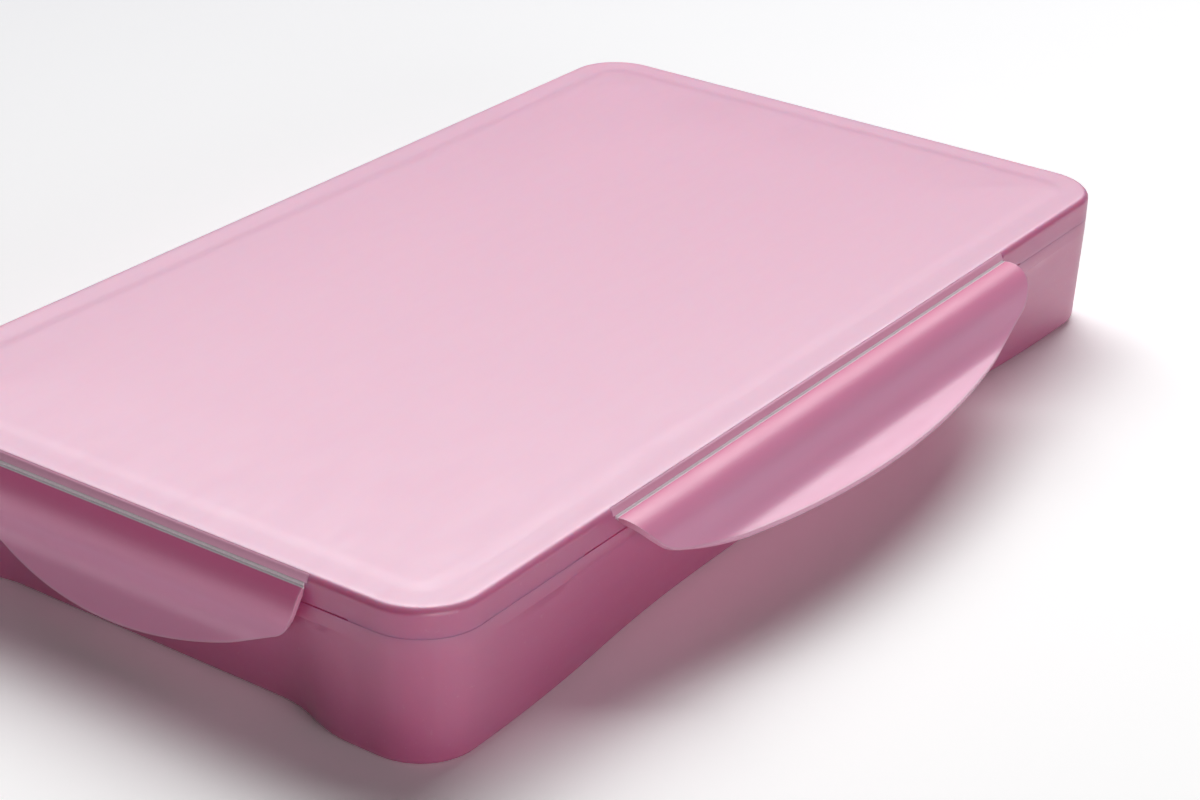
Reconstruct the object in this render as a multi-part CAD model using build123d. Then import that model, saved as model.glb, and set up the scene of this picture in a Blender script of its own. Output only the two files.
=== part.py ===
from build123d import *
import math
import os

os.makedirs("parts", exist_ok=True)

# Millimetres. X runs along the long side, the front is -Y, and Z = 0 is the table.

# the closed case
case_length = 300.0
case_width = 168.0
case_height = 38.1  # table to the raised panel of the lid
corner_radius = 15.3

# lid
lid_height = 6.8  # parting line to the lid's outer border
lid_wall = 1.6
lid_edge_round = 0.8
panel_rise = 0.5
panel_margin = 8.6
panel_ramp = 2.0
parting_gap = 0.15
gasket_height = 0.9
gasket_width = 2.3
gasket_side_gap = 0.05
gasket_gap = 0.1  # under the gasket, above the rim
lid_rib_wall = 1.0
lid_rib_drop = 1.5
strip_inset = 0.3  # the strip over each hinge stands in from the skirt

# base
base_wall = 1.8
base_floor = 1.8
base_edge_round = 2.2
ridge_height = 3.5
ridge_step = 0.35
rim_wall = 1.4
rim_clearance = 0.3
foot_inset = 0.9  # how far the walls lean in at the table
scoop_at_ridge = 1.0
long_scoop = 4.7
long_bend_start = 18.0
long_bend_end = 108.0
short_scoop = 5.2
short_bend_start = 23.0
short_bend_end = 46.0
floor_rib_height = 2.0
floor_rib_wall = 1.4

# latch flaps: a curved wall, measured along its outer face from the hinge
flap_wall = 1.4
flap_start_angle = 33.5  # below the horizontal, where the flap leaves the hinge
shoulder_radius = 8.1
shoulder_turn = 77.0
flank_length = 4.2
lip_radius = 6.0
lip_turn = 52.0
flap_corner = 13.6
long_flap_length = 176.2
long_flap_depth = 27.0
long_flap_bow = 268.0
short_flap_length = 101.7
short_flap_depth = 26.6
short_flap_bow = 91.0
flap_end_gap = 0.6
flap_root_angle = 30.0  # round the hinge's groove, from its foot to the outer face
flap_root_back = 15.0  # and on behind its foot, to the inner face
flap_root_taper = 1.8  # run over which the wall grows to its full thickness
hook_gap = 0.15  # hook to ridge, sideways
hook_drop = 0.25  # hook to ridge, below it
hook_height = 3.2
hook_margin = 26.0
front_flap_open = 47.5  # degrees, as it stands in the photograph

# living hinges
web_radius = 0.4
web_clearance = 0.05
web_below_border = 2.3
web_lip = 0.2
web_end_gap = 0.2

# paint cups
cup_columns = 6
cup_rows = 3
cup_gap = 0.6
cup_end_margin = 7.2  # from the rim to the outermost cups
cup_side_margin = 7.5
cup_wall = 1.0
cup_flange = 2.0
cup_lean = 2.2
cup_corner = 6.0  # cut across each corner
paint_headspace = 3.5
paint_clearance = 0.05
film_thickness = 0.15
film_margin = 0.5

# mixing palette
palette_height = 4.8
palette_wall = 1.2
palette_clearance = 0.5
palette_lift_gap = 0.1
palette_headroom = 1.15  # under the lid's rib
well_depth = 3.6
well_gap = 6.0
well_lean = 1.5
well_corner = 7.0
small_well_columns = 4
well_rows = 2
large_well_share = 0.36
palette_grip_radius = 11.0

half_length = case_length / 2
half_width = case_width / 2
border_top = case_height - panel_rise
parting_z = border_top - lid_height
shoulder_z = parting_z - parting_gap
ridge_bottom = shoulder_z - ridge_height
hinge_z = border_top - web_below_border
gasket_bottom = border_top - lid_wall - gasket_height
rim_top = gasket_bottom - gasket_gap
rim_outside = lid_wall + rim_clearance
rim_inside = rim_outside + rim_wall
lid_rib_bottom = border_top - lid_wall - lid_rib_drop
palette_top = lid_rib_bottom - palette_headroom
palette_bottom = palette_top - palette_height
cup_height = palette_bottom - palette_lift_gap - film_thickness - base_floor
pitch_x = (case_length - 2 * (rim_inside + cup_end_margin) + cup_gap) / cup_columns
pitch_y = (case_width - 2 * (rim_inside + cup_side_margin) + cup_gap) / cup_rows
cup_length = pitch_x - cup_gap
cup_width = pitch_y - cup_gap


def save(shape, name):
    shape.label = name
    export_step(shape, f"parts/{name}.step")


def plate(inset, z_low, z_high, radius=corner_radius):
    """A rounded slab as large as the case less inset on every side."""
    outline = RectangleRounded(case_length - 2 * inset, case_width - 2 * inset, radius - inset)
    return Pos(0, 0, z_low) * extrude(outline, z_high - z_low)


def bend(start, end, along):
    """Two equal arcs that leave start and reach end both parallel to along."""
    start, end = Vector(*start), Vector(*end)
    middle = (start + end) * 0.5
    if abs((end - start).cross(Vector(*along)).Z) < 1e-6:
        return [Line(start, middle), Line(middle, end)]
    first = TangentArc(start, middle, tangent=along)
    second = TangentArc(middle, end, tangent=first % 1)
    return [first, second]


def scooped_outline(inset, long_depth, short_depth, z):
    """The case's plan with both pairs of sides drawn in between their bends."""
    x, y, r = half_length - inset, half_width - inset, corner_radius - inset
    bend_x = [half_length - long_bend_end, half_length - long_bend_start]
    bend_y = [half_width - short_bend_start, half_width - short_bend_end]
    quarter = [Line((0, y - long_depth), (bend_x[0], y - long_depth))]
    quarter += bend((bend_x[0], y - long_depth), (bend_x[1], y), (1, 0))
    quarter += [Line((bend_x[1], y), (x - r, y))]
    quarter += [RadiusArc((x - r, y), (x, y - r), r)]
    quarter += [Line((x, y - r), (x, bend_y[0]))]
    quarter += bend((x, bend_y[0]), (x - short_depth, bend_y[1]), (0, -1))
    quarter += [Line((x - short_depth, bend_y[1]), (x - short_depth, 0))]
    half = quarter + [mirror(edge, Plane.XZ) for edge in quarter]
    whole = half + [mirror(edge, Plane.YZ) for edge in half]
    return Pos(0, 0, z) * make_face(Curve() + whole)


def eight_sided(length, width, cut, inset=0.0):
    """A rectangle with its corners cut off, all drawn in by inset."""
    x, y = length / 2 - inset, width / 2 - inset
    cut -= inset * (2 - math.sqrt(2))
    quarter = [(x, y - cut), (x - cut, y)]
    half = quarter + [(-a, b) for a, b in reversed(quarter)]
    return Polygon(*half, *[(-a, -b) for a, b in half], align=None)


def tapered_tub(length, width, cut, inset, lean, z_low, z_high):
    """A block with cut corners, narrower by lean on each side at its foot."""
    height = z_high - z_low
    block = extrude(eight_sided(length, width, cut, inset + lean), height)
    walls = block.faces().filter_by(Axis.Z, reverse=True)
    return Pos(0, 0, z_low) * draft(walls, Plane.XY, -math.degrees(math.atan2(lean, height)))


# ---- base ----


def base_outline(z, inset=0.0):
    """The base's plan at height z, inside its outer face by inset."""
    share = z / ridge_bottom
    edge = foot_inset + (ridge_step - foot_inset) * share
    long_depth = long_scoop + (scoop_at_ridge - long_scoop) * share
    short_depth = short_scoop + (scoop_at_ridge - short_scoop) * share
    return scooped_outline(edge + inset, long_depth, short_depth, z)


def make_base():
    halfway = base_edge_round * (1 - math.sqrt(0.5))
    sections = [base_outline(0, base_edge_round), base_outline(halfway, halfway)]
    sections += [base_outline(base_edge_round), base_outline(ridge_bottom)]
    outside = loft(sections, ruled=True)
    inner_top = scooped_outline(rim_inside, 0, 0, ridge_bottom)
    inside = loft([base_outline(base_floor, base_wall), inner_top], ruled=True)
    ridge = plate(0, ridge_bottom, shoulder_z)
    rim = plate(rim_outside, shoulder_z, rim_top)
    mouth = plate(rim_inside, ridge_bottom, rim_top)
    base = outside + ridge + rim - mouth - inside
    return base + floor_ribs()


def floor_ribs():
    """Low ribs between the rows of cups."""
    run_x = cup_columns * pitch_x - cup_gap
    run_y = cup_rows * pitch_y - cup_gap
    lift = base_floor + floor_rib_height / 2
    across = [
        Pos((i - cup_columns / 2) * pitch_x, 0, lift) * Box(floor_rib_wall, run_y, floor_rib_height)
        for i in range(1, cup_columns)
    ]
    along = [
        Pos(0, (j - cup_rows / 2) * pitch_y, lift) * Box(run_x, floor_rib_wall, floor_rib_height)
        for j in range(1, cup_rows)
    ]
    return Part() + across + along


# ---- lid ----


def make_lid():
    lid = plate(0, parting_z, border_top)
    lid = fillet(lid.edges().group_by(Axis.Z)[-1], lid_edge_round)
    lid += raised_panel()
    lid -= plate(lid_wall, parting_z, border_top - lid_wall)
    rib_outside = lid_wall + gasket_side_gap * 2 + gasket_width
    rib = plate(rib_outside, lid_rib_bottom, border_top - lid_wall)
    rib -= plate(rib_outside + lid_rib_wall, lid_rib_bottom, border_top - lid_wall)
    lid += rib
    for turn, reach, length, _, _ in flap_sides():
        notch_top = hinge_z - web_radius - web_lip
        notch = Box(length + 2 * flap_end_gap, 2 * lid_wall, notch_top - parting_z)
        notch = Pos(0, 0, (notch_top + parting_z) / 2 - hinge_z) * notch
        strip_low = hinge_z + web_radius + web_lip
        strip = Box(length + 2 * flap_end_gap, 2 * strip_inset, 2 * (border_top - strip_low))
        strip = Pos(0, 0, border_top - hinge_z) * strip
        lid -= at_side(notch + strip + make_web(length), turn, reach)
    return lid


def raised_panel():
    """The panel that stands a little proud of the lid's border, on a soft ramp."""
    margin = panel_margin
    outer = [case_length - 2 * margin, case_width - 2 * margin, corner_radius - margin]
    inner = [size - 2 * panel_ramp for size in outer[:2]] + [outer[2] - panel_ramp]
    levels = [Pos(0, 0, border_top) * RectangleRounded(*outer)]
    levels += [Pos(0, 0, case_height) * RectangleRounded(*inner)]
    return loft(levels, ruled=True)


def make_gasket():
    outer = lid_wall + gasket_side_gap
    gasket = plate(outer, gasket_bottom, gasket_bottom + gasket_height)
    return gasket - plate(outer + gasket_width, gasket_bottom, gasket_bottom + gasket_height)


# ---- latch flaps ----


def flap_sides():
    """Turn about Z, distance of the hinge from the centre, length, depth and bow of each flap."""
    long_flap = (half_width, long_flap_length, long_flap_depth, long_flap_bow)
    short_flap = (half_length, short_flap_length, short_flap_depth, short_flap_bow)
    return [(0, *long_flap), (90, *short_flap), (180, *long_flap), (270, *short_flap)]


def at_side(shape, turn, reach):
    """From a hinge on the X axis, with the flap towards -Y, to its place on the case."""
    return Rot(0, 0, turn) * Pos(0, -reach, hinge_z) * shape


def wall_point(run, depth=0.0):
    """Outward and upward place of the flap wall, run mm from the hinge and depth mm behind its face."""
    groove = web_radius + web_clearance
    first = math.radians(flap_start_angle + flap_root_angle)
    out, up = groove * math.sin(first), -groove * math.cos(first)
    angle = math.radians(flap_start_angle)
    shoulder = shoulder_radius * math.radians(shoulder_turn)
    lip = lip_radius * math.radians(lip_turn)
    if run > 0:
        turned = angle + min(run, shoulder) / shoulder_radius
        out += shoulder_radius * (math.sin(turned) - math.sin(angle))
        up -= shoulder_radius * (math.cos(angle) - math.cos(turned))
        angle, run = turned, max(run - shoulder, 0)
        flank = min(run, flank_length)
        out, up, run = out + flank * math.cos(angle), up - flank * math.sin(angle), run - flank
        turned = angle - min(run, lip) / lip_radius
        out += lip_radius * (math.sin(angle) - math.sin(turned))
        up -= lip_radius * (math.cos(turned) - math.cos(angle))
        angle, run = turned, max(run - lip, 0)
    out, up = out + run * math.cos(angle), up - run * math.sin(angle)
    return out - depth * math.sin(angle), up - depth * math.cos(angle)


def run_at_height(up, depth):
    """How far along the wall its inner face comes down to this height."""
    low, high = 0.0, shoulder_radius * math.radians(shoulder_turn) + flank_length
    for _ in range(30):
        middle = (low + high) / 2
        low, high = (middle, high) if wall_point(middle, depth)[1] > up else (low, middle)
    return low


def flap_section(depth):
    """The flap's cross-section, from the groove round its hinge web to the lip."""
    shoulder = shoulder_radius * math.radians(shoulder_turn)
    flank_end = shoulder + flank_length
    lip_end = flank_end + lip_radius * math.radians(lip_turn)
    last = max(depth, lip_end) + flap_wall
    groove = web_radius + web_clearance
    back_angle = math.radians(flap_root_back)
    root = (groove * math.sin(back_angle), -groove * math.cos(back_angle))

    def face_curve(stops, back):
        knots = [wall_point(stop, back) for stop in stops]
        middle = wall_point((stops[0] + stops[1]) / 2, back)
        return knots, middle

    edges = []
    for start, end, curved in [
        (0, shoulder, True),
        (shoulder, flank_end, False),
        (flank_end, lip_end, True),
        (lip_end, last, False),
    ]:
        for back, begin in ((0, start), (flap_wall, max(start, flap_root_taper))):
            (a, b), middle = face_curve((begin, end), back)
            edges.append(ThreePointArc(a, middle, b) if curved else Line(a, b))
    edges.append(Line(wall_point(last, 0), wall_point(last, flap_wall)))
    edges.append(Line(wall_point(flap_root_taper, flap_wall), root))
    edges.append(RadiusArc(root, wall_point(0), -groove))
    return make_face(Curve() + edges)


def hook_section():
    """The snap hook on the flap's inner face, which closes just under the catch ridge."""
    top = ridge_bottom - hook_drop - hinge_z
    foot = top - hook_height
    upper = wall_point(run_at_height(top, flap_wall / 2), flap_wall / 2)
    lower = wall_point(run_at_height(foot, flap_wall / 2), flap_wall / 2)
    nose = (hook_gap, top - hook_height / 4)
    brow = (hook_gap + hook_height / 8, top)
    return make_face(Polyline(upper, brow, nose, lower, close=True))


def free_edge(length, depth, bow):
    """Half length and depth pairs round the flap's outline, as if the wall were flat."""
    end = length / 2
    corner_x = end - flap_corner
    corner_run = depth - bow + math.sqrt((bow - flap_corner) ** 2 - corner_x**2)
    swing = math.asin(corner_x / (bow - flap_corner))
    outline = [(end, -flap_wall * 2), (end, corner_run / 2)]
    for step in range(5):
        angle = (math.pi / 2 - swing) * step / 4
        x = corner_x + flap_corner * math.cos(angle)
        outline.append((x, corner_run + flap_corner * math.sin(angle)))
    for step in range(1, 6):
        angle = swing * (1 - step / 6)
        outline.append((bow * math.sin(angle), depth - bow + bow * math.cos(angle)))
    mirrored = [(-x, run) for x, run in reversed(outline)]
    return outline + [(0, depth)] + mirrored


def make_flap(length, depth, bow):
    """A latch flap with its hinge on the X axis, hanging closed towards -Y."""
    side = Plane(origin=(0, 0, 0), x_dir=(0, -1, 0), z_dir=(-1, 0, 0))
    section = side * flap_section(depth)
    flap = extrude(section, length / 2 + flap_wall, both=True)
    hook = extrude(side * hook_section(), length / 2 - hook_margin, both=True)
    outline = free_edge(length, depth, bow)
    rails = []
    for back in (-2 * flap_wall, 3 * flap_wall):
        places = [(x, *wall_point(run, back)) for x, run in outline]
        rails.append(Spline([(x, -out, up) for x, out, up in places]))
    cutter = Face.make_surface_from_curves(rails[0], rails[1])
    pieces = split(flap + hook, bisect_by=cutter, keep=Keep.ALL)
    return max(pieces.solids(), key=lambda piece: piece.volume)


def make_web(length):
    return Rot(0, 90, 0) * Cylinder(web_radius, length - 2 * web_end_gap)


# ---- contents ----


def cup_places():
    for row in range(cup_rows):
        for column in range(cup_columns):
            x = (column - (cup_columns - 1) / 2) * pitch_x
            y = ((cup_rows - 1) / 2 - row) * pitch_y
            yield Pos(x, y, base_floor)


def make_cup():
    length, width = cup_length - 2 * cup_flange, cup_width - 2 * cup_flange
    cup = tapered_tub(length, width, cup_corner, 0, cup_lean, 0, cup_height)
    flange = eight_sided(length, width, cup_corner, -cup_flange)
    cup += Pos(0, 0, cup_height - cup_wall) * extrude(flange, cup_wall)
    return cup - cup_inside(0, cup_height)


def cup_inside(gap, z_high):
    """The hollow of a cup, less a gap all round, up to z_high."""
    length, width = cup_length - 2 * cup_flange, cup_width - 2 * cup_flange
    inset = cup_wall + gap
    hollow = tapered_tub(length, width, cup_corner, inset, cup_lean, 0, cup_height)
    return hollow & Pos(0, 0, (inset + z_high) / 2) * Box(length, width, z_high - inset)


def make_paint():
    return cup_inside(paint_clearance, cup_height - paint_headspace)


def make_film():
    length, width = cup_length - 2 * cup_flange, cup_width - 2 * cup_flange
    outline = eight_sided(length, width, cup_corner, film_margin - cup_flange)
    return Pos(0, 0, cup_height) * extrude(outline, film_thickness)


def palette_wells():
    """Centre, length and width of each well: small ones on the left, large ones on the right."""
    inset = rim_inside + palette_clearance + well_gap
    field_x, field_y = case_length - 2 * inset, case_width - 2 * inset
    width = (field_y - (well_rows - 1) * well_gap) / well_rows
    large = field_x * large_well_share
    small = (field_x - large) / small_well_columns - well_gap
    for row in range(well_rows):
        y = (row - (well_rows - 1) / 2) * (width + well_gap)
        for column in range(small_well_columns):
            x = -field_x / 2 + small / 2 + column * (small + well_gap)
            yield x, y, small, width
        yield (field_x - large) / 2, y, large, width


def make_palette():
    low, high = palette_bottom, palette_top
    inset = rim_inside + palette_clearance
    palette = plate(inset, low, high) - plate(inset + palette_wall, low, high - palette_wall)
    well_floor = high - well_depth
    for x, y, length, width in palette_wells():
        pocket = tapered_tub(length, width, well_corner, 0, well_lean, well_floor, high)
        cup = tapered_tub(length, width, well_corner, -palette_wall, well_lean, low, high)
        palette = palette + Pos(x, y, 0) * cup - Pos(x, y, 0) * pocket
    grip = Pos(0, 0, (low + high) / 2) * Cylinder(palette_grip_radius, palette_height)
    reach = half_length - inset + palette_grip_radius / 2
    return palette - Pos(reach, 0, 0) * grip - Pos(-reach, 0, 0) * grip


def main():
    save(make_base(), "base_case")
    save(make_lid(), "lid_shell")
    save(make_gasket(), "lid_gasket")
    save(make_palette(), "mixing_palette")
    for name, (turn, reach, length, depth, bow) in zip(
        ("front", "right", "back", "left"), flap_sides()
    ):
        opened = front_flap_open if name == "front" else 0
        flap = Rot(-opened, 0, 0) * make_flap(length, depth, bow)
        save(at_side(flap, turn, reach), f"latch_{name}")
        save(at_side(make_web(length), turn, reach), f"hinge_web_{name}")
    cup, paint, film = make_cup(), make_paint(), make_film()
    films = []
    for number, place in enumerate(cup_places(), 1):
        save(place * cup, f"paint_cup_{number:02d}")
        save(place * paint, f"gouache_{number:02d}")
        films.append(place * film)
    save(Compound(children=films), "peel_films")


main()
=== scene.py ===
import bpy
import bmesh
import math
from mathutils import Matrix, Vector


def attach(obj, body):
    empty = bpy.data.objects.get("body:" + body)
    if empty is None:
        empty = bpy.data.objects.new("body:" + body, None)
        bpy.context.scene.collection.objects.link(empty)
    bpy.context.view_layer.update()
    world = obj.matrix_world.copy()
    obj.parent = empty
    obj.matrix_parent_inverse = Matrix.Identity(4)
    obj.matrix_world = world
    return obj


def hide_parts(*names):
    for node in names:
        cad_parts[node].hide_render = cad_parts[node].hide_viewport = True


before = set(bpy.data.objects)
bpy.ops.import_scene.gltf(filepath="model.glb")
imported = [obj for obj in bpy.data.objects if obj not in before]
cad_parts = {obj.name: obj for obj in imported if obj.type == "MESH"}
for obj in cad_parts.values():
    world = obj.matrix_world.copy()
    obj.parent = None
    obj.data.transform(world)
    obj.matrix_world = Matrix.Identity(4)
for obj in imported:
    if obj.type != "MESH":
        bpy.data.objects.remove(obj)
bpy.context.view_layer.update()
mm = 0.001

# millimetres: X runs along the long side, the front is -Y, the table is Z = 0
caseSizes = {
    "length": 300.0,
    "width": 168.0,
    "cornerRadius": 15.3,
    "borderTop": 37.6,  # the lid's outer border
    "partingLine": 30.8,
    "hingeLine": 35.3,
    "flapEndGap": 0.6,
}
halfLength = caseSizes["length"] / 2
halfWidth = caseSizes["width"] / 2
sides = ("front", "right", "back", "left")


def linear(*rgb):  # sRGB from 0 to 255 in, scene linear out
    return tuple(((c / 255 + 0.055) / 1.055) ** 2.4 if c > 10 else c / 255 / 12.92 for c in rgb)


def newObject(name, content):  # a mesh, a lamp or a camera
    thing = bpy.data.objects.new(name, content)
    bpy.context.scene.collection.objects.link(thing)
    return thing


# a block's faces: its four lower corners come first, counter-clockwise from above
blockFaces = [(3, 2, 1, 0), (4, 5, 6, 7), (0, 1, 5, 4), (1, 2, 6, 5), (2, 3, 7, 6), (3, 0, 4, 7)]


def meshFromFaces(name, points, faces):  # points in millimetres
    mesh = bpy.data.meshes.new(name)
    mesh.from_pydata([tuple(c * mm for c in p) for p in points], [], faces)
    mesh.update()
    return mesh


def bakeModifiers(thing):  # the evaluated mesh takes the place of the object's own
    bpy.context.view_layer.update()
    depsgraph = bpy.context.evaluated_depsgraph_get()
    mesh = bpy.data.meshes.new_from_object(thing.evaluated_get(depsgraph), depsgraph=depsgraph)
    thing.modifiers.clear()
    thing.data = mesh
    mesh.name = thing.name
    return thing


def removeAll(things):
    for thing in things:
        bpy.data.objects.remove(thing)


def joinParts(name, parts):  # one new object takes the parts' meshes
    bm = bmesh.new()
    for part in parts:
        bm.from_mesh(part.data)
    removeAll(parts)
    mesh = bpy.data.meshes.new(name)
    bm.to_mesh(mesh)
    bm.free()
    return newObject(name, mesh)


def addBoolean(thing, other, operation):
    change = thing.modifiers.new(operation.lower(), "BOOLEAN")
    change.operation = operation
    change.solver = "EXACT"
    change.object = other


def facesOutwards(thing):
    bm = bmesh.new()
    bm.from_mesh(thing.data)
    bmesh.ops.recalc_face_normals(bm, faces=bm.faces)
    bm.to_mesh(thing.data)
    bm.free()
    return thing


def smoothShade(thing, angle=35):
    for face in thing.data.polygons:
        face.use_smooth = True
    thing.data.set_sharp_from_angle(angle=math.radians(angle))
    return thing


def softEdges(thing, width, angle=40, segments=3):
    bevel = thing.modifiers.new("softEdges", "BEVEL")
    bevel.width = width * mm
    bevel.segments = segments
    bevel.limit_method = "ANGLE"
    bevel.angle_limit = math.radians(angle)
    return thing


def dress(thing, material, body, nodes):
    thing.data.materials.clear()
    thing.data.materials.append(material)
    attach(thing, body)
    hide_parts(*nodes)


def coat(node, material):  # a carried-over node takes a finish
    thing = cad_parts[node]
    thing.data.materials.clear()
    thing.data.materials.append(material)


def setInputs(node, values):
    for key, value in values.items():
        node.inputs[key].default_value = value


def nodeMaterial(name):
    material = bpy.data.materials.new(name)
    material.use_nodes = True
    tree = material.node_tree
    place = tree.nodes.new("ShaderNodeTexCoord")
    return material, tree, tree.nodes["Principled BSDF"], place.outputs["Object"]


def noise(tree, vector, scale, detail=3.0, roughness=0.5, stretch=None):
    if stretch:
        mapping = tree.nodes.new("ShaderNodeMapping")
        mapping.inputs["Scale"].default_value = stretch
        tree.links.new(vector, mapping.inputs["Vector"])
        vector = mapping.outputs["Vector"]
    texture = tree.nodes.new("ShaderNodeTexNoise")
    setInputs(texture, {"Scale": scale, "Detail": detail, "Roughness": roughness})
    tree.links.new(vector, texture.inputs["Vector"])
    return texture.outputs["Fac"]


def spread(tree, value, low, high, start=0.3, end=0.7):  # maps a value to a range
    node = tree.nodes.new("ShaderNodeMapRange")
    setInputs(node, {"From Min": start, "From Max": end, "To Min": low, "To Max": high})
    tree.links.new(value, node.inputs["Value"])
    return node.outputs["Result"]


def attribute(tree, name):
    node = tree.nodes.new("ShaderNodeAttribute")
    node.attribute_name = name
    return node.outputs["Fac"]


def heightOf(tree, place):
    node = tree.nodes.new("ShaderNodeSeparateXYZ")
    tree.links.new(place, node.inputs["Vector"])
    return node.outputs["Z"]


def blendColours(tree, factor, first, second):
    node = tree.nodes.new("ShaderNodeMix")
    node.data_type = "RGBA"
    tree.links.new(factor, node.inputs["Factor"])
    for key, colour in (("A", first), ("B", second)):
        socket = [s for s in node.inputs if s.name == key and s.type == "RGBA"][0]
        if isinstance(colour, tuple):
            socket.default_value = (*colour, 1)
        else:
            tree.links.new(colour, socket)
    return [s for s in node.outputs if s.type == "RGBA"][0]


def bump(tree, shader, *layers):  # each layer is a height value, a strength and a depth in millimetres
    normal = None
    for height, strength, depth in layers:
        node = tree.nodes.new("ShaderNodeBump")
        setInputs(node, {"Strength": strength, "Distance": depth * mm})
        tree.links.new(height, node.inputs["Height"])
        if normal:
            tree.links.new(normal, node.inputs["Normal"])
        normal = node.outputs["Normal"]
    tree.links.new(normal, shader.inputs["Normal"])


pinkLook = {
    "colour": (214, 107, 157),
    "cloudColour": (212, 104, 154),
    "cloudScale": 14.0,
    "dustColour": (236, 196, 210),
    "dustScale": 900.0,
    "dustShare": 0.2,
    "dustRange": (0.68, 0.8),
    "roughness": 0.43,
    "roughnessRange": 0.05,
    "rubScale": 60.0,
    "specular": 1.0,
    "sheenCoat": 1.0,
    "coatIndex": 1.55,
    "coatRoughness": 0.36,
    "scatter": 0.8,
    "scatterRadius": (4.0, 0.7, 1.2),  # millimetres: red reaches furthest
    "grainScale": 2400.0,
    "grainDepth": 0.012,
    "waveScale": 30.0,
    "waveDepth": 0.05,
}
lidPinkLook = {
    **pinkLook,
    "topSheenColour": (235, 149, 189),  # painted sheen: the top is the skirt's plastic, painted paler for the sheen of light it catches
    "topSheenHeight": (36.5, 37.3),  # from the skirt's colour to the top's, in millimetres
    "sheenCoat": 0.67,
}
# painted light: the flaps are the case's plastic painted brighter, standing in for light that reaches them
flapPinkLook = {
    **pinkLook,
    "colour": (238, 120, 169),
    "cloudColour": (236, 117, 166),
    # painted light: the flank and lip are painted paler away from the hinge
    "flankLitColour": (255, 174, 211),
    "flankLitRun": (2.0, 12.0),  # millimetres from the hinge, as bentRun is
    "bentColour": (252, 234, 243),
    "bentRun": (0.4, 0.6),
    # painted highlight: a paler band along the free edge stands in for the light its rounded edge catches
    "edgeHighlightColour": (234, 184, 204),
    "edgeHighlightShare": 0.55,
    "edgeHighlightRun": (0.1, 0.7),  # millimetres from the free edge
    "specular": 0.7,
    "sheenCoat": 0.2,
    "scatter": 0.2,
    "scatterRadius": (2.5, 0.9, 1.3),
}
# painted light: the strip over each hinge is the case's plastic painted much paler, for the light it catches
stripPinkLook = {
    **pinkLook,
    "colour": (255, 184, 216),
    "cloudColour": (253, 181, 213),
    "sheenCoat": 0.0,
    "scatter": 0.0,
}


# satin moulded polypropylene: a fine grain, faint clouding, a little dust
# a flap is also white where it bends at the hinge, painted paler down its flank as painted light and paler
# along its free edge as a painted highlight:
# its mesh keeps the distances from both; the lid's top is painted paler than its skirt as a painted sheen
def pinkPlastic(name, look):
    material, tree, shader, place = nodeMaterial(name)
    cloud = spread(tree, noise(tree, place, look["cloudScale"], 4.0), 0.0, 1.0)
    specks = noise(tree, place, look["dustScale"], 2.0)
    dust = spread(tree, specks, 0.0, look["dustShare"], *look["dustRange"])
    colour = blendColours(tree, cloud, linear(*look["colour"]), linear(*look["cloudColour"]))
    colour = blendColours(tree, dust, colour, linear(*look["dustColour"]))
    # painted sheen: the lid's flat top is painted paler than its skirt
    if "topSheenColour" in look:
        top = spread(tree, heightOf(tree, place), 0.0, 1.0, *(z * mm for z in look["topSheenHeight"]))
        colour = blendColours(tree, top, colour, linear(*look["topSheenColour"]))
    # painted light: a flap's flank and lip are painted paler away from the hinge
    if "flankLitColour" in look:
        flank = spread(tree, attribute(tree, "fromHinge"), 0.0, 1.0, *look["flankLitRun"])
        colour = blendColours(tree, flank, colour, linear(*look["flankLitColour"]))
        # painted highlight: a paler band along a flap's free edge
        edgeHighlight = spread(tree, attribute(tree, "toEdge"), look["edgeHighlightShare"], 0.0, *look["edgeHighlightRun"])
        colour = blendColours(tree, edgeHighlight, colour, linear(*look["edgeHighlightColour"]))
        bent = spread(tree, attribute(tree, "fromHinge"), 1.0, 0.0, *look["bentRun"])
        colour = blendColours(tree, bent, colour, linear(*look["bentColour"]))
    tree.links.new(colour, shader.inputs["Base Color"])
    rub = noise(tree, place, look["rubScale"], 5.0, 0.6, stretch=(1.0, 5.0, 5.0))
    middle, half = look["roughness"], look["roughnessRange"]
    tree.links.new(spread(tree, rub, middle - half, middle + half), shader.inputs["Roughness"])
    values = {
        "Specular IOR Level": look["specular"],
        "Coat Weight": look["sheenCoat"],
        "Coat Roughness": look["coatRoughness"],
        "Coat IOR": look["coatIndex"],
        "Subsurface Weight": look["scatter"],
        "Subsurface Radius": tuple(r * mm for r in look["scatterRadius"]),
        "Subsurface Scale": 1.0,
    }
    setInputs(shader, values)
    grain = noise(tree, place, look["grainScale"], 2.0)
    wave = noise(tree, place, look["waveScale"], 2.0)
    bump(tree, shader, (wave, 0.4, look["waveDepth"]), (grain, 0.5, look["grainDepth"]))
    return material


plasticLooks = {
    "whitenedHinge": {"colour": (255, 238, 246), "roughness": 0.6, "creases": (1.0, 60.0, 60.0)},
    "gasketRubber": {"colour": (224, 220, 214), "roughness": 0.7},
    "paletteWhite": {"colour": (236, 236, 234), "roughness": 0.28, "scatter": 0.1},
    "cupMilky": {"colour": (229, 231, 233), "roughness": 0.34, "scatter": 0.25},
}
plasticSkin = {
    "cloudScale": 30.0,
    "cloudShade": 0.94,
    "patchScale": 75.0,
    "patchRange": (0.85, 1.2),  # shares of the roughness
    "scatterRadius": (1.5, 1.4, 1.3),
    "grainScale": 1800.0,
    "grainDepth": 0.01,
}


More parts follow.
